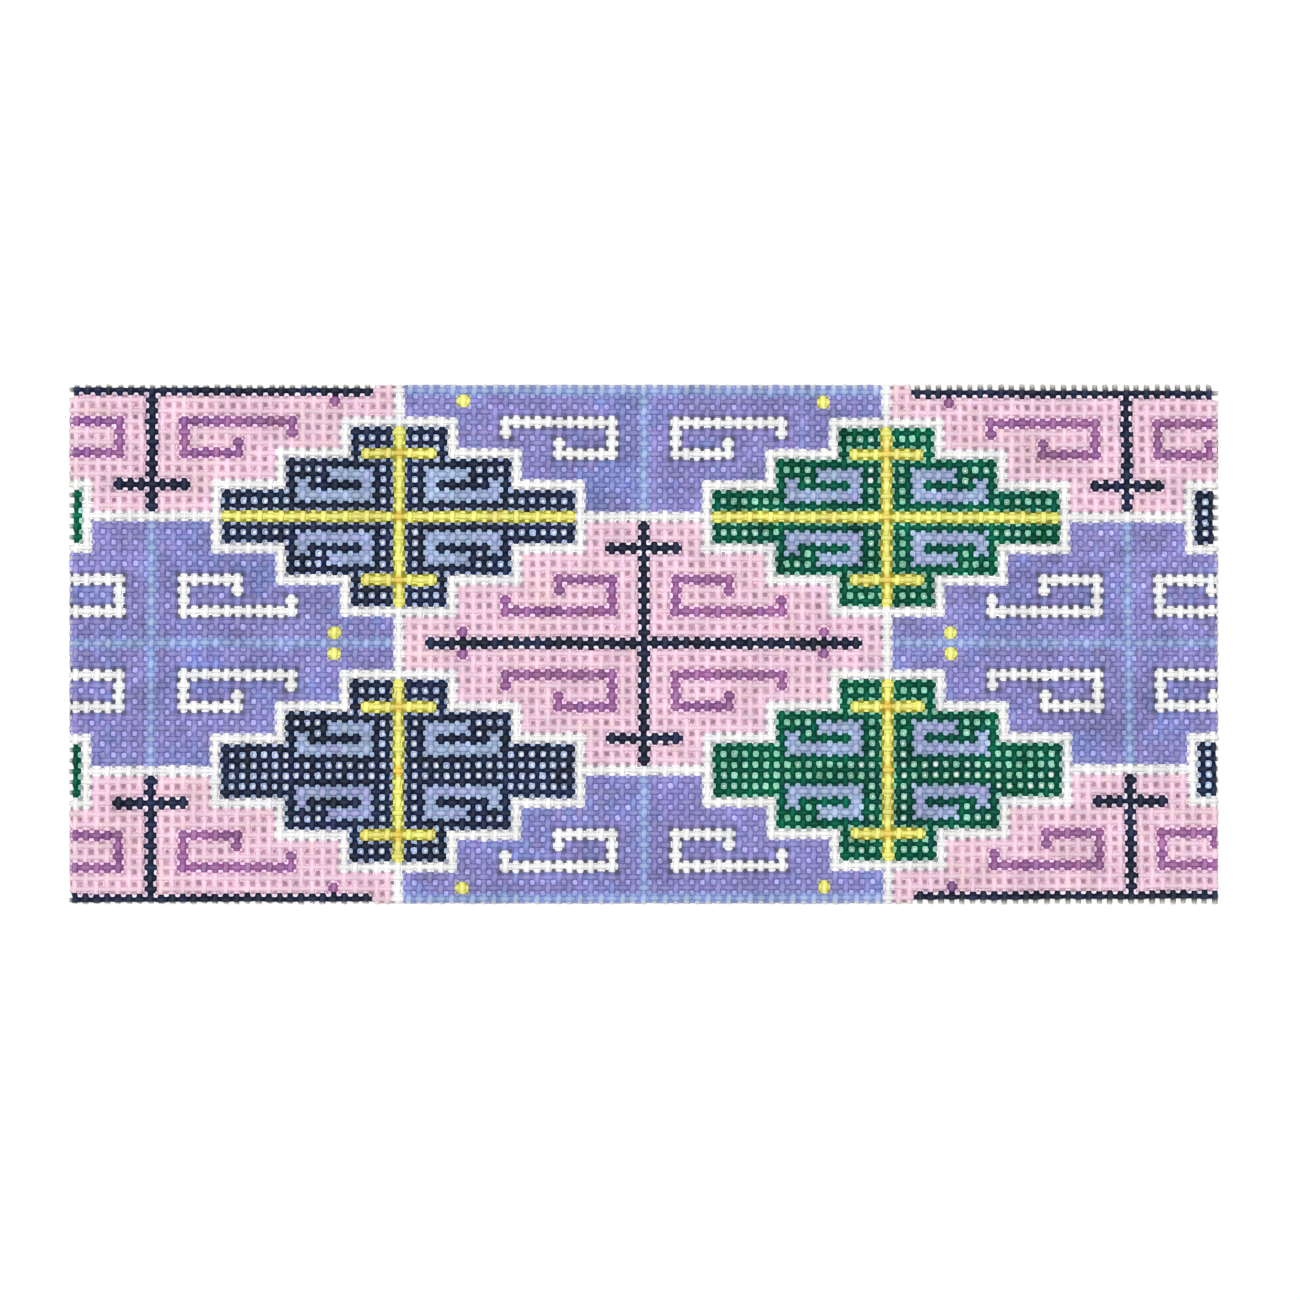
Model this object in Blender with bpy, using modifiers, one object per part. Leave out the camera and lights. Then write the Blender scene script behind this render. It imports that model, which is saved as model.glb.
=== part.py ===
# Needlepoint canvas panel: a flat cut length of painted cotton mono canvas.
# Metres, +Z up. The panel lies on its back, with the middle of its underside at the origin,
# its long side along X and the top of the painted face towards +Y.

import math

import bpy

# Driving dimensions
THREADS_PER_INCH = 18
INCH = 0.0254
COLUMNS = 108              # upright threads, counted along the long side
ROWS = 49                  # level threads, counted up the short side
ROW_PITCH_RATIO = 0.992    # level threads lie a little closer together than upright ones
COLUMN_END_MARGIN = 0.5    # canvas left past the last upright thread, in pitches
ROW_END_MARGIN = 0.6       # canvas left past the last level thread, in pitches
THICKNESS = 0.001          # two crossing threads, flattened, with their paint
CORNER_RADIUS = 0.0005     # the outermost threads round off each cut corner
RIM_ROUNDING = 0.00025     # the cut thread ends are rounded over the rim
CORNER_STEPS = 4
RIM_STEPS = 2

COLUMN_PITCH = INCH / THREADS_PER_INCH
ROW_PITCH = COLUMN_PITCH * ROW_PITCH_RATIO
WIDTH = (COLUMNS - 1 + 2 * COLUMN_END_MARGIN) * COLUMN_PITCH
HEIGHT = (ROWS - 1 + 2 * ROW_END_MARGIN) * ROW_PITCH

CANVAS_COLOUR = (0.42, 0.33, 0.57, 1.0)    # mean of the pink, lilac, navy, green and white paint
WELD_DISTANCE = 0.00001


def clear_scene():
    for existing in list(bpy.data.objects):
        bpy.data.objects.remove(existing, do_unlink=True)


def painted_canvas_material():
    material = bpy.data.materials.new("painted_cotton_canvas")
    material.use_nodes = True
    shader = material.node_tree.nodes["Principled BSDF"]
    shader.inputs["Base Color"].default_value = CANVAS_COLOUR
    shader.inputs["Roughness"].default_value = 0.8
    shader.inputs["Metallic"].default_value = 0.0
    return material


def rounded_rectangle(width, height, radius, steps):
    """Points of the outline, anticlockwise from the right-hand end of the bottom side."""
    points = []
    for corner, (side_x, side_y) in enumerate(((1, -1), (1, 1), (-1, 1), (-1, -1))):
        centre_x = side_x * (width / 2 - radius)
        centre_y = side_y * (height / 2 - radius)
        first_angle = math.pi / 2 * (corner - 1)
        for step in range(steps + 1):
            angle = first_angle + math.pi / 2 * step / steps
            points.append((centre_x + radius * math.cos(angle), centre_y + radius * math.sin(angle)))
    return points


def painted_canvas(collection):
    """The flat sheet: its outline as a filled curve, given its thickness, with a softened rim."""
    outline = bpy.data.curves.new("painted_canvas", "CURVE")
    outline.dimensions = "2D"
    outline.fill_mode = "BOTH"
    outline.extrude = THICKNESS / 2
    points = rounded_rectangle(WIDTH, HEIGHT, CORNER_RADIUS, CORNER_STEPS)
    spline = outline.splines.new("POLY")
    spline.points.add(len(points) - 1)
    for point, (x, y) in zip(spline.points, points):
        point.co = (x, y, 0.0, 1.0)
    spline.use_cyclic_u = True
    outline.materials.append(painted_canvas_material())

    sheet = bpy.data.objects.new("painted_canvas", outline)
    sheet.location = (0.0, 0.0, THICKNESS / 2)
    collection.objects.link(sheet)

    weld = sheet.modifiers.new("join_caps", "WELD")
    weld.merge_threshold = WELD_DISTANCE
    rim = sheet.modifiers.new("soft_rim", "BEVEL")
    rim.width = RIM_ROUNDING
    rim.segments = RIM_STEPS
    rim.limit_method = "ANGLE"
    rim.angle_limit = math.radians(60)
    return sheet


clear_scene()
panel = bpy.data.collections.new("needlepoint_canvas_panel")
bpy.context.scene.collection.children.link(panel)
painted_canvas(panel)
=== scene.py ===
import math

import bmesh
import bpy
import numpy as np
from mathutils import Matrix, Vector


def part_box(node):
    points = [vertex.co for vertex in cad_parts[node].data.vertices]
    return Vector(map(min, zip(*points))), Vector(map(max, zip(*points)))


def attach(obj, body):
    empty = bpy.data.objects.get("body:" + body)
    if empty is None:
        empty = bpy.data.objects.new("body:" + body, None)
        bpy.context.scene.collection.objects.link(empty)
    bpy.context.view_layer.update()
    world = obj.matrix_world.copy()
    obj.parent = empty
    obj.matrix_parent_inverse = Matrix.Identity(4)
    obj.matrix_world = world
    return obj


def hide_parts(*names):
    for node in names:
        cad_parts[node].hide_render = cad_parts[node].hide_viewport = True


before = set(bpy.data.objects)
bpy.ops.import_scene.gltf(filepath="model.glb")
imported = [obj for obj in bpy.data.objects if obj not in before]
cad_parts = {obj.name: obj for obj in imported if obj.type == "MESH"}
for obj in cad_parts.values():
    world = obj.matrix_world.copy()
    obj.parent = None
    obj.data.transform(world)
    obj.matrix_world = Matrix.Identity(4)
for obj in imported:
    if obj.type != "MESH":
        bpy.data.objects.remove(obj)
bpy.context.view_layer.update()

panelLow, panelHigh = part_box("painted_canvas")
mm = 0.001
weldGap = 0.001 * mm

# The bare cloth: plain woven cotton mono canvas, single threads over and under one another
canvas = {
    "columns": (-53, 54),        # upright threads, counted from the middle of the pattern
    "rows": (-24, 24),           # level threads
    "columnPitch": 1.4081 * mm,
    "columnCrowding": 0.00025 * mm,   # columns close up a little to the right
    "columnStart": 0.03 * mm,
    "fan": 0.00022 * mm,         # columns spread towards the bottom, more so to the right
    "fanRight": 0.0000024 * mm,
    "rowPitch": 1.4001 * mm,
    "rowSlack": 0.00019 * mm,    # rows are pulled further apart on the left
    "rowBow": 0.0004 * mm,
    "rowStart": 0.13 * mm,
    "middle": 0.5 * mm,          # height of the weave's middle plane over the underside
    "rise": 0.27 * mm,           # how far a thread climbs over the one it crosses
    "halfHeight": 0.305 * mm,    # of one thread
    "levelWidth": 0.9,           # level threads are drawn tighter, so they are narrower
    "lean": 0.05,                # sideways lean of the upright strokes, share of the pitch
    "waist": 0.07,               # threads spread where they are pressed together
    "crown": 0.08,               # and look broader where they pass over
    "unevenPlace": 0.026,        # share of the pitch
    "unevenWidth": 0.05,
    "unevenSpread": 0.04,
    "patchSize": 2,              # crossings, of a patch in a paint's second tone
    "patchTone": 0.3,            # how strongly the second tone comes and goes in patches,
    "fleckTone": 0.2,            # and how strongly from one crossing to the next
    "loadSize": 1,               # crossings, of a patch where the brush was more or less loaded
    "patchShade": 0.6,           # share of the shade that comes in such patches
    "shadeRange": (0.6, 1.35),
    "brightest": 0.97,
    # colour towards which the painted highlight on top of the crossings pales a thread
    "highlightTone": 0.85,
    "uprightLight": 1.03,         # painted light and shade: upright strokes are painted lighter than level ones, for how the light falls on them
    "levelShade": 0.96,
    "cutUneven": 0.13 * mm,      # the cut ends stop a little short here and there
    "sides": 6,
    "steps": 3,                  # lengths for each crossing
    "seed": 18,
}

random = np.random.default_rng(canvas["seed"])


def linear(hexColour):    # the one place where a screen colour becomes linear light
    channels = np.array([int(hexColour[i:i + 2], 16) for i in (1, 3, 5)]) / 255
    return np.where(channels <= 0.04045, channels / 12.92, ((channels + 0.055) / 1.055) ** 2.4)


# Paints. body is half the width of a painted thread. In each hole the paint leaves a rim of
# thread colour and, inside it, a thinner film round the opening: rim, opening and the shove by
# which a film pushes the opening away are shares of the pitch, and fill is how high the film
# stands over the weave's middle plane, in mm. The pink, white and yellow films are darker than
# their paint: that is painted shade in the holes. relief is how much of the weave's ups and downs
# the paint leaves, and spread is how far it creeps on past its own crossing. The next value is
# painted shade, which darkens a thread between its crossings, and the one after it is a painted
# highlight, which pales it on top of them. shade and tint are how unevenly the paint goes on,
# and fleck is a second tone, mixed in by the share flecks on average.
paints = {
    "pink": {
        # the pink film is darker than the paint: painted shade in the holes
        "hex": "#f3d2e4", "film": "#b492a4", "fleck": "#f3d3dc", "flecks": 0.12, "body": 0.315,
        "rim": 0.22, "opening": 0.02, "shove": 0.0, "fill": -0.06, "relief": 0.45, "spread": 0.0,
        "shadeBetween": 0.0, "crownHighlight": 0.0, "shade": 0.03, "tint": 0.01},
    "lilac": {
        "hex": "#8f89ca", "film": "#a8a6dc", "fleck": "#7f8ccf", "flecks": 0.15, "body": 0.295,
        "rim": 0.22, "opening": 0.005, "shove": 0.0, "fill": 0.1, "relief": 0.7, "spread": 0.0,
        "shadeBetween": 0.16, "crownHighlight": 0.07, "shade": 0.12, "tint": 0.02},
    "white": {
        # the white film is grey: painted shade in the holes
        "hex": "#fbfbf8", "film": "#a2a2ae", "fleck": "#f4f4f6", "flecks": 0.1, "body": 0.30,
        "rim": 0.20, "opening": 0.03, "shove": 0.0, "fill": -0.1, "relief": 0.6, "spread": 0.02,
        "shadeBetween": 0.06, "crownHighlight": 0.0, "shade": 0.01, "tint": 0.005},
    "whiteLine": {
        # the white lines' film is dark grey: painted shade in the gaps beside them
        "hex": "#fdfdfa", "film": "#5c5b70", "fleck": "#f4f4f6", "flecks": 0.1, "body": 0.31,
        "rim": 0.21, "opening": 0.02, "shove": 0.0, "fill": -0.06, "relief": 0.7, "spread": 0.06,
        "shadeBetween": 0.06, "crownHighlight": 0.0, "shade": 0.01, "tint": 0.005},
    "navy": {
        "hex": "#07183a", "film": "#a0b6e0", "fleck": "#142650", "flecks": 0.12, "body": 0.235,
        "rim": 0.295, "opening": 0.17, "shove": 0.0, "fill": 0.0, "relief": 1.0, "spread": 0.08,
        "shadeBetween": 0.5, "crownHighlight": 0.03, "shade": 0.2, "tint": 0.05},
    "navyLine": {
        "hex": "#071634", "film": "#ecdff0", "fleck": "#142650", "flecks": 0.1, "body": 0.245,
        "rim": 0.245, "opening": 0.03, "shove": 0.0, "fill": 0.0, "relief": 0.9, "spread": 0.1,
        "shadeBetween": 0.25, "crownHighlight": 0.03, "shade": 0.15, "tint": 0.04},
    "green": {
        "hex": "#00644a", "film": "#84ccae", "fleck": "#0a5044", "flecks": 0.15, "body": 0.235,
        "rim": 0.295, "opening": 0.1, "shove": 0.0, "fill": 0.0, "relief": 1.0, "spread": 0.08,
        "shadeBetween": 0.5, "crownHighlight": 0.0, "shade": 0.2, "tint": 0.04},
    "yellow": {
        # the olive film is painted shade in the holes beside the yellow
        "hex": "#fffb86", "film": "#959024", "fleck": "#fbf280", "flecks": 0.2, "body": 0.30,
        "rim": 0.33, "opening": 0.0, "shove": 0.1, "fill": -0.04, "relief": 0.8, "spread": 0.1,
        "shadeBetween": 0.1, "crownHighlight": 0.06, "shade": 0.05, "tint": 0.015},
    "ochre": {    # a second coat where the yellow bars cross
        # the olive film is painted shade in the holes beside the ochre
        "hex": "#f6d763", "film": "#959024", "fleck": "#f6e87a", "flecks": 0.2, "body": 0.30,
        "rim": 0.33, "opening": 0.0, "shove": 0.1, "fill": -0.04, "relief": 0.8, "spread": 0.1,
        "shadeBetween": 0.1, "crownHighlight": 0.0, "shade": 0.05, "tint": 0.015},
    "periwinkle": {
        "hex": "#9fb6de", "film": "#a0b6d0", "fleck": "#9c9eda", "flecks": 0.25, "body": 0.32,
        "rim": 0.24, "opening": 0.005, "shove": 0.0, "fill": 0.12, "relief": 0.7, "spread": 0.06,
        "shadeBetween": 0.24, "crownHighlight": 0.2, "shade": 0.1, "tint": 0.02},
    "lightBlue": {
        "hex": "#8fa6de", "film": "#949bd2", "fleck": "#9cb4ea", "flecks": 0.25, "body": 0.31,
        "rim": 0.21, "opening": 0.005, "shove": 0.0, "fill": 0.12, "relief": 0.65, "spread": 0.0,
        "shadeBetween": 0.24, "crownHighlight": 0.18, "shade": 0.08, "tint": 0.02},
    "magenta": {
        "hex": "#a4649f", "film": "#f4cbe8", "fleck": "#8c4c94", "flecks": 0.25, "body": 0.255,
        "rim": 0.25, "opening": 0.02, "shove": 0.0, "fill": 0.04, "relief": 0.9, "spread": 0.0,
        "shadeBetween": 0.14, "crownHighlight": 0.1, "shade": 0.13, "tint": 0.03},
}

# The chart, in threads. Each bar is (first column, last column, first row, last row) in one
# quarter, counted from the middle of its motif, and mirrored to the other three.
chart = {
    "fieldColumns": 46,
    "fieldRows": 24,
    "medallion": ((0, 4, 0, 8), (0, 10, 0, 5), (0, 16, 0, 2)),
    "medallionCross": ((0, 0, 0, 8), (0, 3, 6, 6)),
    "medallionArm": ((0, 16, 0, 0),),     # only on the two upper whole medallions
    "medallionHearts": ((0, 0, 0, 0), (0, 0, 6, 6)),
    "medallionHooks": ((3, 3, 2, 4), (3, 6, 4, 4), (3, 9, 2, 2), (9, 9, 3, 3)),
    "fieldHooks": ((3, 3, 3, 6), (3, 8, 6, 6), (3, 13, 3, 3), (13, 13, 4, 4), (8, 8, 5, 5)),
    "fieldDots": ((17, 17, 1, 1),),
    "navyCross": ((0, 20, 0, 0), (0, 0, 0, 11), (0, 3, 9, 9)),
    "blueCross": ((0, 22, 0, 0), (0, 0, 0, 11)),
}


def inBars(column, row, bars):
    across, up = abs(column), abs(row)
    return any(a <= across <= b and c <= up <= d for a, b, c, d in bars)


def fromMiddle(value, period):    # which repeat a thread lies in, and how far from its middle
    repeat = math.floor(value / period + 0.5)
    return repeat, value - repeat * period


def medallionPaint(column, row):    # the stepped medallions stand where four fields meet
    across, fromColumn = fromMiddle(column - chart["fieldColumns"] / 2, chart["fieldColumns"])
    up, fromRow = fromMiddle(row - chart["fieldRows"] / 2, chart["fieldRows"])
    if not inBars(fromColumn, fromRow, chart["medallion"]):
        near = any(inBars(fromColumn + i, fromRow + j, chart["medallion"])
                   for i in (-1, 0, 1) for j in (-1, 0, 1))
        return "white" if near else None
    if inBars(fromColumn, fromRow, chart["medallionHearts"]):
        return "ochre"
    if inBars(fromColumn, fromRow, chart["medallionCross"]):
        return "yellow"
    if up == 0 and across in (-1, 0) and inBars(fromColumn, fromRow, chart["medallionArm"]):
        return "yellow"
    if inBars(fromColumn, fromRow, chart["medallionHooks"]):
        return "periwinkle"
    return "green" if across % 2 == 0 else "navy"


def paintAt(column, row):    # the paint on one crossing of the canvas
    medallion = medallionPaint(column, row)
    if medallion:
        return medallion
    across, fromColumn = fromMiddle(column, chart["fieldColumns"])
    up, fromRow = fromMiddle(row, chart["fieldRows"])
    if abs(fromColumn) == chart["fieldColumns"] / 2 or abs(fromRow) == chart["fieldRows"] / 2:
        return "white"
    pinkField = (across + up) % 2 == 0
    if inBars(fromColumn, fromRow, chart["navyCross" if pinkField else "blueCross"]):
        return "navyLine" if pinkField else "lightBlue"
    if inBars(fromColumn, fromRow, chart["fieldHooks"]):
        return "magenta" if pinkField else "whiteLine"
    if inBars(fromColumn, fromRow, chart["fieldDots"]):
        return "magenta" if pinkField else "yellow"
    return "pink" if pinkField else "lilac"


firstColumn, lastColumn = canvas["columns"]
firstRow, lastRow = canvas["rows"]
columnCount = lastColumn - firstColumn + 1
rowCount = lastRow - firstRow + 1
paintNames = list(paints)
chartGrid = np.array([[paintNames.index(paintAt(column, row)) for row in range(firstRow, lastRow + 1)]
                      for column in range(firstColumn, lastColumn + 1)])
print("chart:", columnCount, "by", rowCount, "threads,",
      ", ".join(f"{name} {int((chartGrid == i).sum())}" for i, name in enumerate(paintNames)))


# What is uneven is drawn once for each crossing, so that both of its threads share it
cellShape = (columnCount, rowCount)
shiftX = random.normal(0, canvas["unevenPlace"], cellShape) * canvas["columnPitch"]
shiftY = random.normal(0, canvas["unevenPlace"], cellShape) * canvas["rowPitch"]


def ofPaints(key):
    return np.array([paints[name][key] for name in paintNames])


def smoothField(width):    # patches a few crossings wide, mostly between -2 and 2
    field = random.normal(0, 1, cellShape)
    for axis in (0, 1):
        field = sum(np.roll(field, step, axis) for step in range(-width, width + 1))
    return field / field.std()


bodyGrid = ofPaints("body")[chartGrid] * (1 + random.normal(0, canvas["unevenWidth"], cellShape))
reliefGrid = ofPaints("relief")[chartGrid]
spreadGrid = ofPaints("spread")[chartGrid]
# painted shade between the crossings and a painted highlight on top of them, for each crossing
shadeBetweenGrid = ofPaints("shadeBetween")[chartGrid]
crownHighlightGrid = ofPaints("crownHighlight")[chartGrid]
brushLoad = random.normal(0, 1, cellShape) * (1 - canvas["patchShade"])
brushLoad = brushLoad + smoothField(canvas["loadSize"]) * canvas["patchShade"]
shadeGrid = np.clip(1 + brushLoad * ofPaints("shade")[chartGrid], *canvas["shadeRange"])
tintGrid = 1 + random.normal(0, 1, cellShape + (3,)) * ofPaints("tint")[chartGrid][..., None]
unevenGrid = shadeGrid[..., None] * tintGrid
mainColours, fleckColours, filmColours = (
    np.array([linear(paints[name][key]) for name in paintNames]) for key in ("hex", "fleck", "film"))
patchGrid = smoothField(canvas["patchSize"])
second = ofPaints("flecks")[chartGrid] + canvas["patchTone"] * patchGrid
second = second + random.normal(0, canvas["fleckTone"], cellShape)
second = np.clip(second, 0, 1)[..., None]
colourGrid = (1 - second) * mainColours[chartGrid] + second * fleckColours[chartGrid]
colourGrid = np.clip(colourGrid * unevenGrid, 0, canvas["brightest"])


# Painted light and shade on the thread colour: painted shade between the crossings, darkest halfway to the next,
# and a painted highlight on top of each crossing
def threadColour(crossing, crown):    # crown is 1 on top of a crossing and 0 halfway to the next
    shadeBetween = 1 - shadeBetweenGrid[crossing] * (1 - crown)
    crownHighlight = (crownHighlightGrid[crossing] * crown)[:, None]
    return colourGrid[crossing] * shadeBetween[:, None] * (1 - crownHighlight) + canvas["highlightTone"] * crownHighlight


def between(grid, column, row):    # a grid's value at any place, mixed from the crossings around it
    x = np.clip(column - firstColumn, 0, columnCount - 1)
    y = np.clip(row - firstRow, 0, rowCount - 1)
    x0 = np.minimum(x.astype(int), columnCount - 2)
    y0 = np.minimum(y.astype(int), rowCount - 2)
    fx, fy = x - x0, y - y0
    return ((1 - fx) * (1 - fy) * grid[x0, y0] + fx * (1 - fy) * grid[x0 + 1, y0]
            + (1 - fx) * fy * grid[x0, y0 + 1] + fx * fy * grid[x0 + 1, y0 + 1])


def place(column, row):    # where a point of the weave lies, with the drift of the real cloth
    x = canvas["columnStart"] + canvas["columnPitch"] * column - canvas["columnCrowding"] * column ** 2
    x = x - (canvas["fan"] * column + canvas["fanRight"] * column ** 2) * row
    pitch = canvas["rowPitch"] - canvas["rowSlack"] * column
    y = canvas["rowStart"] + pitch * row - canvas["rowBow"] * row ** 2
    return x + between(shiftX, column, row), y + between(shiftY, column, row)


def newPrimitive(operator, name, **settings):
    bpy.ops.object.select_all(action="DESELECT")
    operator(**settings)
    piece = bpy.context.object
    piece.name = name
    piece.data.name = name
    bpy.ops.object.transform_apply(location=True, rotation=True, scale=True)
    return piece


def repeatPiece(piece, count, offset, merge):
    array = piece.modifiers.new("repeat", "ARRAY")
    array.use_relative_offset = False
    array.use_constant_offset = True
    array.constant_offset_displace = offset
    array.count = count
    array.use_merge_vertices = merge
    array.merge_threshold = weldGap
    bpy.ops.object.modifier_apply(modifier=array.name)


def readPoints(mesh):
    points = np.empty(len(mesh.vertices) * 3)
    mesh.vertices.foreach_get("co", points)
    return points.reshape(-1, 3)


def readCorners(mesh):    # each corner's vertex and face, and each face's number of corners
    vertexOf = np.empty(len(mesh.loops), int)
    mesh.loops.foreach_get("vertex_index", vertexOf)
    totals = np.empty(len(mesh.polygons), int)
    mesh.polygons.foreach_get("loop_total", totals)
    return vertexOf, np.repeat(np.arange(len(totals)), totals), totals


def writeColour(mesh, colours):
    layer = mesh.color_attributes.new("paint", "FLOAT_COLOR", "CORNER")
    layer.data.foreach_set("color", colours.astype(np.float32).ravel())
    mesh.color_attributes.active_color = layer


def writeMap(mesh, name, u, v):
    layer = mesh.uv_layers.new(name=name, do_init=False)
    layer.data.foreach_set("uv", np.stack((u, v), 1).astype(np.float32).ravel())


def showMap(mesh, name):
    mesh.uv_layers.active = mesh.uv_layers[name]
    mesh.uv_layers[name].active_render = True


# A map goes round a thread or a ring: where a face spans the last point and the first, the first
# counts as one more than the last
def closeRound(corners, period, faceOf, isFlat):
    highest = np.zeros(len(isFlat))
    np.maximum.at(highest, faceOf, corners)
    lowest = np.full(len(isFlat), float(period))
    np.minimum.at(lowest, faceOf, corners)
    spans = (highest - lowest > 1) & ~isFlat
    return np.where(spans[faceOf] & (corners == 0), period, corners)


# Threads
threads = {
    "startRadius": 0.33 * mm,
    "settledBelow": -0.1,      # sine of the angle round a thread, under which paint levels nothing
    "undersideCover": 0.42,    # paint that soaks through to the back,
    "undersideBelow": -0.75,   # which starts at this sine
    "flankCover": 0.8,
    "capCover": 0.25,          # and on the cut ends
    "endCover": 0.1,           # at the very edge of the panel, where the paint runs out
    "stripFill": 0.92,         # share of its strip that a thread takes in the bake's map
    "capRoom": 0.4,            # room at each end of a strip for the cut end, in crossings
    "capSize": 0.3,            # of the cut end in it
}


# One crossing's length of thread is modelled, repeated along the thread, capped and repeated
# across, all at an even pitch
def modelThreads(name, upright, first, last, alongPitch, acrossPitch):
    alongFirst, alongLast = canvas["rows"] if upright else canvas["columns"]
    turn = (math.pi / 2, math.pi / 2, 0) if upright else (0, math.pi / 2, 0)
    start = (first * acrossPitch, alongFirst * alongPitch, 0)
    piece = newPrimitive(
        bpy.ops.mesh.primitive_cylinder_add, name, vertices=canvas["sides"],
        radius=threads["startRadius"], depth=alongPitch, end_fill_type="NOTHING",
        location=start if upright else start[1::-1] + (0,), rotation=turn)
    bpy.ops.object.mode_set(mode="EDIT")
    bpy.ops.mesh.select_all(action="DESELECT")
    shape = bmesh.from_edit_mesh(piece.data)
    axis = 1 if upright else 0
    for edge in shape.edges:
        a, b = edge.verts
        edge.select_set(abs(a.co[axis] - b.co[axis]) > alongPitch / 2)
    bmesh.update_edit_mesh(piece.data)
    bpy.ops.mesh.subdivide(number_cuts=canvas["steps"] - 1)
    bpy.ops.object.mode_set(mode="OBJECT")
    offset = (0, alongPitch, 0) if upright else (alongPitch, 0, 0)
    repeatPiece(piece, alongLast - alongFirst + 1, offset, True)
    bpy.ops.object.mode_set(mode="EDIT")
    bpy.ops.mesh.select_all(action="SELECT")
    bpy.ops.mesh.fill_holes(sides=canvas["sides"])
    bpy.ops.mesh.normals_make_consistent(inside=False)
    bpy.ops.object.mode_set(mode="OBJECT")
    repeatPiece(piece, last - first + 1, (acrossPitch, 0, 0) if upright else (0, acrossPitch, 0), False)
    return piece


def threadPiece(name, upright, first, last, halves):    # every ring is moved to its own place
    alongFirst, alongLast = canvas["rows"] if upright else canvas["columns"]
    alongPitch = canvas["rowPitch"] if upright else canvas["columnPitch"]
    acrossPitch = canvas["columnPitch"] if upright else canvas["rowPitch"]
    piece = modelThreads(name, upright, first, last, alongPitch, acrossPitch)
    mesh = piece.data
    points = readPoints(mesh)
    side, along = (points[:, 0], points[:, 1]) if upright else (points[:, 1], points[:, 0])
    thread = np.rint(side / acrossPitch)
    run = np.rint((along / alongPitch + 0.5) * canvas["steps"]) / canvas["steps"] - 0.5
    angle = np.arctan2(points[:, 2], side - thread * acrossPitch)
    before = np.clip(np.floor(run), alongFirst, alongLast).astype(int)
    after = np.clip(before + 1, alongFirst, alongLast)
    threadIndex = thread.astype(int) - first
    spreads = spreadGrid if upright else spreadGrid.T
    moved = spreads[threadIndex, before - alongFirst] - spreads[threadIndex, after - alongFirst]
    wander = random.normal(0, canvas["unevenSpread"], (last - first + 1, alongLast - alongFirst + 2))
    moved = moved + wander[threadIndex, np.floor(run + 0.5).astype(int) - alongFirst]
    withinRing = 0.5 / canvas["steps"]
    isBorder = np.abs(run - np.floor(run) - 0.5) < withinRing
    spreadRun = run + np.where(isBorder, moved, 0)    # where one paint gives way to the next
    column, row = (thread, spreadRun) if upright else (spreadRun, thread)
    over = np.cos(np.pi * spreadRun) * np.where(thread % 2 == 0, 1, -1) * (1 if upright else -1)
    body = between(bodyGrid, column, row) * acrossPitch * (1 if upright else canvas["levelWidth"])
    body = body * (1 + canvas["waist"] * np.cos(2 * np.pi * spreadRun) + canvas["crown"] * over)
    x, y = place(column, row)
    relief = between(reliefGrid, column, row)
    margin = body + canvas["cutUneven"] / 2
    sideways = body * np.cos(angle)
    if upright:
        x = x + canvas["lean"] * alongPitch * np.sin(2 * np.pi * spreadRun)
        x = np.clip(x, panelLow[0] + margin, panelHigh[0] - margin) + sideways
    else:
        y = np.clip(y, panelLow[1] + margin, panelHigh[1] - margin) + sideways
    rise = canvas["rise"] * np.where(np.sin(angle) > threads["settledBelow"], relief, 1)
    paintDepth = canvas["rise"] * (1 - relief) * np.clip(np.sin(angle), 0, 1)
    z = canvas["middle"] + rise * over + paintDepth + canvas["halfHeight"] * np.sin(angle)
    ends = random.uniform(0, canvas["cutUneven"], (2, len(points)))
    cutAlong, axis = (y, 1) if upright else (x, 0)
    firstRing = run < alongFirst - 0.5 + withinRing
    lastRing = run > alongLast + 0.5 - withinRing
    cutAlong[firstRing] = panelLow[axis] + ends[0][firstRing]
    cutAlong[lastRing] = panelHigh[axis] - ends[1][lastRing]
    mesh.vertices.foreach_set("co", np.stack((x, y, z), 1).ravel())

    # The paint and both maps, corner by corner
    vertexOf, faceOf, totals = readCorners(mesh)
    faceCount = len(totals)
    isCap = totals != 4
    sides = canvas["sides"]
    spoke = np.rint(angle / (2 * np.pi) * sides).astype(int) % sides
    cornerSpoke = closeRound(spoke[vertexOf].astype(float), sides, faceOf, isCap)
    faceRun = np.bincount(faceOf, run[vertexOf], faceCount) / totals
    faceThread = np.rint(np.bincount(faceOf, thread[vertexOf], faceCount) / totals).astype(int)
    faceSpoke = np.bincount(faceOf, cornerSpoke, faceCount) / totals
    cell = np.clip(np.rint(faceRun), alongFirst, alongLast).astype(int)
    faceColumn, faceRow = (faceThread, cell) if upright else (cell, faceThread)
    crossing = (faceColumn[faceOf] - firstColumn, faceRow[faceOf] - firstRow)
    fullCrown = 1 + math.cos(math.pi / canvas["steps"])    # reached all over the middle length
    crown = np.clip((1 + np.cos(2 * np.pi * run[vertexOf])) / fullCrown, 0, 1)
    height = np.sin(2 * np.pi * faceSpoke / sides)
    below = np.where(height > threads["undersideBelow"], threads["flankCover"], threads["undersideCover"])
    cover = np.where(height > 0, 1.0, below)
    cover[isCap] = threads["capCover"]
    colours = np.ones((len(faceOf), 4))
    # painted light and shade: upright threads lighter, level threads darker
    tone = canvas["uprightLight"] if upright else canvas["levelShade"]
    colours[:, :3] = np.clip(threadColour(crossing, crown) * tone, 0, canvas["brightest"])
    colours[:, 3] = np.where((firstRing | lastRing)[vertexOf], threads["endCover"], cover[faceOf])
    writeColour(mesh, colours)

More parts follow.
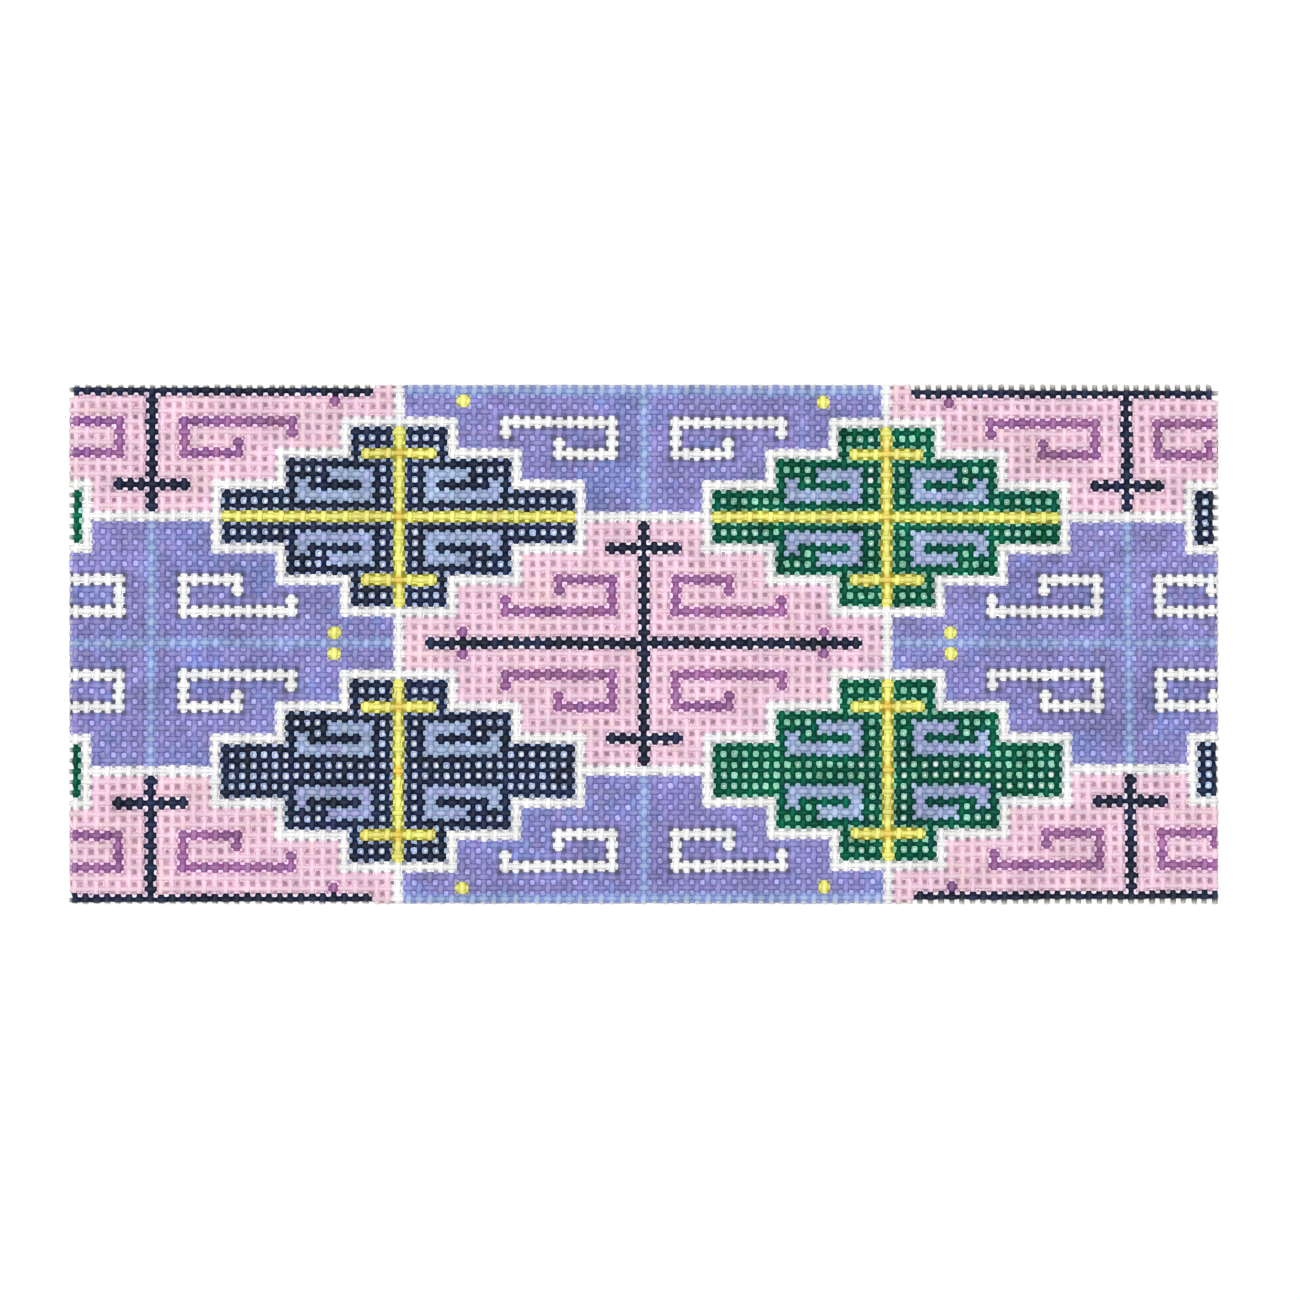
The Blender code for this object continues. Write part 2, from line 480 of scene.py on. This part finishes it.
    runU = cornerSpoke / sides * 2 * np.pi * threads["startRadius"] / mm
    writeMap(mesh, "threadRun", runU, run[vertexOf] * alongPitch / mm)
    stripRuns = (alongLast - alongFirst + 1) / halves
    half = np.minimum((cell - alongFirst) // math.ceil(stripRuns), halves - 1)
    strips = (last - first + 1) * halves
    strip = ((faceThread - first) * halves + half)[faceOf]
    fill = threads["stripFill"]
    capU = 0.5 + threads["capSize"] * np.cos(angle[vertexOf])
    capV = threads["capSize"] * np.sin(angle[vertexOf]) * threads["capRoom"]
    u = np.where(isCap[faceOf], capU, cornerSpoke / sides)
    v = run[vertexOf] - alongFirst - half[faceOf] * math.ceil(stripRuns) + 0.5 + threads["capRoom"]
    v = v + np.where(isCap[faceOf], np.sign(faceRun[faceOf]) * threads["capRoom"] / 2 + capV, 0)
    length = math.ceil(stripRuns) + 2 * threads["capRoom"]
    writeMap(mesh, "OFBake", (strip + (1 - fill) / 2 + fill * u) / strips, v / length)
    showMap(mesh, "threadRun")
    bpy.ops.object.shade_smooth()
    print(f"{name}: {last - first + 1} threads, {sum(totals - 2)} triangles")
    return piece


# Paint films: where the brush leaves paint across a hole of the mesh
films = {
    "reach": 0.36,           # outer edge, hidden in the threads, share of the pitch
    "ringRadius": 0.3,       # of the ring that each film starts as, and its half thickness
    "ringThickness": 0.1,
    "rimHeight": 0.08 * mm,  # of the thick rim, over and under the weave's middle plane
    "cornerRoom": 1.18,      # holes are rounded squares,
    "tallness": 1.08,        # a little taller than wide
    "leastOpening": 0.005,
    "leastFilm": 0.015,      # from the rim to the opening
    "unevenRim": 0.06,
    "unevenOpening": 0.12,
    "patchOpening": 0.3,     # how much wider or narrower openings are in patches
    "unevenPlace": 0.025,
    "cutShare": 0.2,         # a film stops short of the cut edge by at least this much of cutUneven
    "sectors": 8,
    "closed": "periwinkle",    # this paint fills every hole that it touches
    "shadedGaps": "whiteLine",       # and this one's holes get a dark film: painted shade in the gaps beside it
    "thin": "green",           # the paint that runs thin in places, so that holes open or close
    "openAtCut": ("navy", "navyLine", "green"),    # the cut edge stays open beside these
    "unevenTone": 0.12,
    "undersideCover": 0.6,
}


def holesOf(points):    # counted from the half hole before the first thread
    holeX = np.rint(points[:, 0] / canvas["columnPitch"] - 0.5).astype(int)
    holeY = np.rint(points[:, 1] / canvas["rowPitch"] - 0.5).astype(int)
    return holeX - firstColumn + 1, holeY - firstRow + 1


def modelFilms(name, first, last, isOpenAtCut):    # one ring for each hole, but for those left open
    pitchX, pitchY = canvas["columnPitch"], canvas["rowPitch"]
    piece = newPrimitive(
        bpy.ops.mesh.primitive_torus_add, name, major_segments=films["sectors"], minor_segments=4,
        major_radius=films["ringRadius"] * pitchX, minor_radius=films["ringThickness"] * pitchX,
        location=((first + 0.5) * pitchX, (firstRow - 0.5) * pitchY, 0))
    repeatPiece(piece, last - first, (pitchX, 0, 0), False)
    repeatPiece(piece, rowCount + 1, (0, pitchY, 0), False)
    isGone = isOpenAtCut[holesOf(readPoints(piece.data))]
    bpy.ops.object.mode_set(mode="EDIT")
    bpy.ops.mesh.select_all(action="DESELECT")
    shape = bmesh.from_edit_mesh(piece.data)
    for vertex, gone in zip(shape.verts, isGone):
        if gone:
            vertex.select_set(True)
    bmesh.update_edit_mesh(piece.data)
    bpy.ops.mesh.delete(type="VERT")
    bpy.ops.object.mode_set(mode="OBJECT")
    return piece


def filmPiece(name, first, last):    # the films between two upright threads, as one mesh
    pitchX, pitchY = canvas["columnPitch"], canvas["rowPitch"]
    padded = np.pad(chartGrid, 1, mode="edge")    # half holes are left all along the cut edges
    around = np.stack((padded[:-1, :-1], padded[1:, :-1], padded[:-1, 1:], padded[1:, 1:]), -1)
    isOpenAtCut = np.isin(around, [paintNames.index(paint) for paint in films["openAtCut"]]).any(-1)
    isOpenAtCut[1:-1, 1:-1] = False
    piece = modelFilms(name, first, last, isOpenAtCut)
    mesh = piece.data
    points = readPoints(mesh)
    hole = holesOf(points)
    holeX, holeY = hole[0] + firstColumn - 1, hole[1] + firstRow - 1
    localX = points[:, 0] - (holeX + 0.5) * pitchX
    localY = points[:, 1] - (holeY + 0.5) * pitchY
    sectors = films["sectors"]
    spoke = np.rint(np.arctan2(localY, localX) / (2 * np.pi) * sectors).astype(int) % sectors
    angle = 2 * np.pi * spoke / sectors
    fromRing = np.hypot(localX, localY) / pitchX - films["ringRadius"]
    isRoot = fromRing > films["ringThickness"] / 2
    isEdge = fromRing < -films["ringThickness"] / 2
    isTop = points[:, 2] > films["ringThickness"] * pitchX / 2

    # The ring's outer points become roots in the threads, its top and bottom the thick rim and
    # its inner points the film's edge round the opening
    closed = paintNames.index(films["closed"])
    isClosed = (around == closed).any(-1)

    def ofHoles(key, unevenness=0.0):    # a value for each hole, from the four paints around it
        values = ofPaints(key)[around].mean(-1)
        values = np.where(isClosed, paints[films["closed"]][key], values)
        return values * (1 + random.normal(0, unevenness, values.shape))

    rim = ofHoles("rim", films["unevenRim"])
    isThin = (around == paintNames.index(films["thin"])).all(-1)
    opening = ofHoles("opening", films["unevenOpening"]) * np.exp(
        np.where(isThin, films["patchOpening"] * np.pad(patchGrid, (0, 1), mode="edge"), 0))
    opening = np.clip(opening, films["leastOpening"], rim - films["leastFilm"])
    shove = ofPaints("shove")[around]
    awayX = (shove[..., 0] + shove[..., 2] - shove[..., 1] - shove[..., 3]) / 2
    awayY = (shove[..., 0] + shove[..., 1] - shove[..., 2] - shove[..., 3]) / 2
    awayX = awayX + random.normal(0, films["unevenPlace"], awayX.shape)
    awayY = awayY + random.normal(0, films["unevenPlace"], awayY.shape)
    corner = np.where(spoke % 2 == 1, films["cornerRoom"], 1)
    radius = np.where(isEdge, opening[hole], rim[hole]) * corner
    radius = np.where(isRoot, films["reach"] * np.where(spoke % 2 == 1, math.sqrt(2), 1), radius)
    centreX, centreY = place(holeX + 0.5, holeY + 0.5)
    x = centreX + pitchX * (radius * np.cos(angle) + np.where(isRoot, 0, awayX[hole]))
    tall = np.where(isRoot, 1, films["tallness"])
    y = centreY + pitchY * (radius * tall * np.sin(angle) + np.where(isRoot, 0, awayY[hole]))
    cut = random.uniform(films["cutShare"], 1, isClosed.shape)[hole] * canvas["cutUneven"]
    for values, centres, index, pitch, count, low, high in (
            (x, centreX, hole[0], pitchX, columnCount, panelLow[0] + cut, panelHigh[0] - cut),
            (y, centreY, hole[1], pitchY, rowCount, panelLow[1] + cut, panelHigh[1] - cut)):
        reach = films["reach"] * pitch    # at a cut edge the film is squeezed into what is left
        for isCut, edge, root in ((index == 0, low, centres + reach),
                                  (index == count, high, centres - reach)):
            squeezed = root + (values - root) * np.abs(edge - root) / (2 * reach)
            values[isCut] = squeezed[isCut]
    z = np.where(isTop, films["rimHeight"], -films["rimHeight"])
    z = canvas["middle"] + np.where(isEdge, ofHoles("fill")[hole] * mm, np.where(isRoot, 0, z))
    mesh.vertices.foreach_set("co", np.stack((x, y, z), 1).ravel())
    bpy.ops.object.mode_set(mode="EDIT")
    bpy.ops.mesh.select_all(action="SELECT")
    bpy.ops.mesh.normals_make_consistent(inside=False)
    bpy.ops.object.mode_set(mode="OBJECT")

    # The paint: thread colour on the rim, the thinner film inside it
    vertexOf, faceOf, totals = readCorners(mesh)
    faceCount = len(totals)

    def ofFaces(values):    # the mean over each face's corners
        return np.bincount(faceOf, values[vertexOf], faceCount) / 4

    faceHole = tuple(np.rint(ofFaces(index)).astype(int) for index in hole)
    nearest = (np.clip(faceHole[0] + (ofFaces(localX) > 0) - 1, 0, columnCount - 1),
               np.clip(faceHole[1] + (ofFaces(localY) > 0) - 1, 0, rowCount - 1))
    filmPaint = np.where(isClosed[faceHole], closed, chartGrid[nearest])
    # holes beside the white lines take its dark film: painted shade
    shadedGaps = paintNames.index(films["shadedGaps"])
    filmPaint = np.where((around == shadedGaps).any(-1)[faceHole], shadedGaps, filmPaint)
    filmColour = filmColours[filmPaint]
    tone = 1 + random.normal(0, films["unevenTone"], isClosed.shape)
    filmColour = filmColour * unevenGrid[nearest] * tone[faceHole][:, None]
    filmColour = np.clip(filmColour, 0, canvas["brightest"])
    isRim = ofFaces(isRoot) > 0
    colours = np.ones((faceCount, 4))
    # the rim takes the thread colour with its full painted shade between the crossings
    colours[:, :3] = np.where(isRim[:, None], threadColour(nearest, np.zeros(faceCount)), filmColour)
    colours[:, 3] = np.where(ofFaces(isTop) > 0, 1, films["undersideCover"])
    writeColour(mesh, colours[faceOf])

    minor = np.where(isRoot, 0, np.where(isEdge, 2, np.where(isTop, 1, 3)))
    isFlat = np.zeros(faceCount, bool)
    cornerSpoke = closeRound(spoke[vertexOf].astype(float), sectors, faceOf, isFlat)
    cornerMinor = closeRound(minor[vertexOf].astype(float), 4, faceOf, isFlat)
    writeMap(mesh, "threadRun", localX[vertexOf] / mm, localY[vertexOf] / mm)
    holes = (last - first) * (rowCount + 1)
    tile = ((faceHole[0] + firstColumn - 1 - first) * (rowCount + 1) + faceHole[1])[faceOf]
    tilesAcross = math.ceil(math.sqrt(holes))
    share = threads["stripFill"]
    u = tile % tilesAcross + (1 - share) / 2 + share * cornerSpoke / sectors
    v = tile // tilesAcross + (1 - share) / 2 + share * cornerMinor / 4
    writeMap(mesh, "OFBake", u / tilesAcross, v / tilesAcross)
    showMap(mesh, "threadRun")
    print(f"{name}: {holes} holes, {faceCount * 2} triangles")
    return piece


# Acrylic paint brushed into sized cotton mono canvas: satin to matt, a little grainy, with the
# twist of the yarn showing through it and the brush's load coming and going from stroke to stroke
finish = {
    "bareCotton": "#f6f2e8",
    "twistPitch": 0.34,       # mm between the plies of the yarn
    "twistAngle": 38,
    "twistDepth": 0.020,      # mm
    "wavePeriod": 0.314,      # of a wave texture at scale 1
    "fibreSize": 0.11,        # mm
    "fibreDepth": 0.012,      # mm
    "brushSize": 3.2,         # mm, a stroke of the loaded brush
    "brushShade": 0.10,
    "brushRange": (0.3, 0.7),
    "grainCover": 1.6,        # how much the fibres break up thin paint
    "bumpStrength": 0.8,
    "roughness": (0.48, 0.68),
}


def addNode(nodes, kind, settings=None, links=None):    # an input is a value or another node's socket
    node = nodes.nodes.new(kind)
    for key, value in (settings or {}).items():
        setattr(node, key, value)
    for key, value in (links or {}).items():
        if isinstance(value, bpy.types.NodeSocket):
            nodes.links.new(value, node.inputs[key])
        else:
            node.inputs[key].default_value = value
    return node


def paintedCanvasMaterial():
    material = bpy.data.materials.new("acrylic_painted_cotton_canvas")
    material.use_nodes = True
    nodes = material.node_tree
    nodes.nodes.clear()
    perMetre = 1000
    paint = addNode(nodes, "ShaderNodeAttribute", {"attribute_name": "paint", "attribute_type": "GEOMETRY"})
    place3d = addNode(nodes, "ShaderNodeTexCoord").outputs["Object"]
    threadRun = addNode(nodes, "ShaderNodeUVMap", {"uv_map": "threadRun"}).outputs["UV"]

    # Twist of the yarn, running round each thread
    turned = addNode(nodes, "ShaderNodeMapping", None, {
        "Vector": threadRun, "Rotation": (0, 0, math.radians(finish["twistAngle"]))})
    twist = addNode(nodes, "ShaderNodeTexWave", {"bands_direction": "Y"}, {
        "Vector": turned.outputs["Vector"], "Scale": finish["wavePeriod"] / finish["twistPitch"],
        "Distortion": 1.2, "Detail": 1.0, "Detail Scale": 2.0})
    fibre = addNode(nodes, "ShaderNodeTexNoise", None, {
        "Vector": place3d, "Scale": perMetre / finish["fibreSize"], "Detail": 2.0})
    brush = addNode(nodes, "ShaderNodeTexNoise", None, {
        "Vector": place3d, "Scale": perMetre / finish["brushSize"], "Detail": 2.0, "Roughness": 0.6})

    # Colour: bare cotton shows where the paint is thin, and each stroke is more or less loaded
    cover = addNode(nodes, "ShaderNodeMath", {"operation": "MULTIPLY_ADD", "use_clamp": True}, {
        0: fibre.outputs["Fac"], 1: finish["grainCover"], 2: -finish["grainCover"] / 2})
    covered = addNode(nodes, "ShaderNodeMath", {"operation": "ADD", "use_clamp": True}, {
        0: paint.outputs["Alpha"], 1: cover.outputs["Value"]})
    bare = linear(finish["bareCotton"])
    soaked = addNode(nodes, "ShaderNodeMix", {"data_type": "RGBA"}, {
        0: covered.outputs["Value"], 6: (*bare, 1.0), 7: paint.outputs["Color"]})
    load = addNode(nodes, "ShaderNodeMapRange", None, {
        "Value": brush.outputs["Fac"], "From Min": finish["brushRange"][0], "From Max": finish["brushRange"][1],
        "To Min": 1 - finish["brushShade"], "To Max": 1 + finish["brushShade"]})
    loaded = addNode(nodes, "ShaderNodeVectorMath", {"operation": "SCALE"}, {
        0: soaked.outputs[2], "Scale": load.outputs["Result"]})

    rough = addNode(nodes, "ShaderNodeMapRange", None, {
        "Value": fibre.outputs["Fac"], "To Min": finish["roughness"][0], "To Max": finish["roughness"][1]})
    twistBump = addNode(nodes, "ShaderNodeBump", None, {
        "Height": twist.outputs["Fac"], "Distance": finish["twistDepth"] * mm, "Strength": finish["bumpStrength"]})
    fibreBump = addNode(nodes, "ShaderNodeBump", None, {
        "Height": fibre.outputs["Fac"], "Distance": finish["fibreDepth"] * mm, "Strength": finish["bumpStrength"],
        "Normal": twistBump.outputs["Normal"]})
    shader = addNode(nodes, "ShaderNodeBsdfPrincipled", None, {
        "Base Color": loaded.outputs["Vector"], "Roughness": rough.outputs["Result"],
        "Normal": fibreBump.outputs["Normal"], "IOR": 1.48, "Specular IOR Level": 0.14,
        "Metallic": 0.0})
    addNode(nodes, "ShaderNodeOutputMaterial", None, {"Surface": shader.outputs["BSDF"]})
    return material


middleColumn = 0
pieces = [
    threadPiece("upright_threads", True, firstColumn, lastColumn, 1),
    threadPiece("level_threads", False, firstRow, lastRow, 2),
    filmPiece("paint_films_left", firstColumn - 1, middleColumn),
    filmPiece("paint_films_right", middleColumn, lastColumn + 1),
]
paintedCanvas = paintedCanvasMaterial()
for piece in pieces:
    piece.data.materials.clear()
    piece.data.materials.append(paintedCanvas)
    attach(piece, "root")
    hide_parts("painted_canvas")
print("pieces:", ", ".join(piece.name for piece in pieces))


# Setting: pale floor, soft overhead light, camera looking straight down on the panel
setting = {
    "floorColour": "#fcfcfc",
    "floorSize": 3.0,
    "floorDrop": 0.02 * mm,        # under the panel
    "frameWidth": 172.2 * mm,      # what the picture takes in
    "aim": (0.83 * mm, -0.79 * mm),
    "lens": 100,                   # mm, on a 36 mm sensor
    "sensor": 36,
    "keyHeight": 1.6,
    "keySize": 0.5,
    "keyShift": (-0.12, 0.16),
    "keyPower": 21,
    "worldStrength": 0.28,
}


def floorMaterial():
    material = bpy.data.materials.new("matt_white_paper")
    material.use_nodes = True
    shader = material.node_tree.nodes["Principled BSDF"]
    shader.inputs["Base Color"].default_value = (*linear(setting["floorColour"]), 1.0)
    shader.inputs["Roughness"].default_value = 0.9
    shader.inputs["Specular IOR Level"].default_value = 0.1
    return material


floor = newPrimitive(bpy.ops.mesh.primitive_plane_add, "floor", size=setting["floorSize"],
                     location=(0, 0, -setting["floorDrop"]))
floor.data.materials.append(floorMaterial())

cameraHeight = panelHigh[2] + setting["frameWidth"] * setting["lens"] / setting["sensor"]
bpy.ops.object.camera_add(location=(*setting["aim"], cameraHeight), rotation=(0, 0, 0))
camera = bpy.context.object
camera.data.lens = setting["lens"]
camera.data.sensor_width = setting["sensor"]
camera.data.clip_start = 0.01
camera.data.dof.use_dof = False
bpy.context.scene.camera = camera

bpy.ops.object.light_add(type="AREA", location=(*setting["keyShift"], setting["keyHeight"]))
key = bpy.context.object
key.data.shape = "DISK"
key.data.size = setting["keySize"]
key.data.energy = setting["keyPower"]
aimed = math.atan2(math.hypot(*setting["keyShift"]), setting["keyHeight"])
key.rotation_euler = (0, aimed, math.atan2(setting["keyShift"][1], setting["keyShift"][0]))

world = bpy.data.worlds.new("soft_studio")
world.use_nodes = True
background = world.node_tree.nodes["Background"]
background.inputs["Color"].default_value = (1, 1, 1, 1)
background.inputs["Strength"].default_value = setting["worldStrength"]
bpy.context.scene.world = world
bpy.context.scene.view_settings.view_transform = "Standard"
print("setting ready")
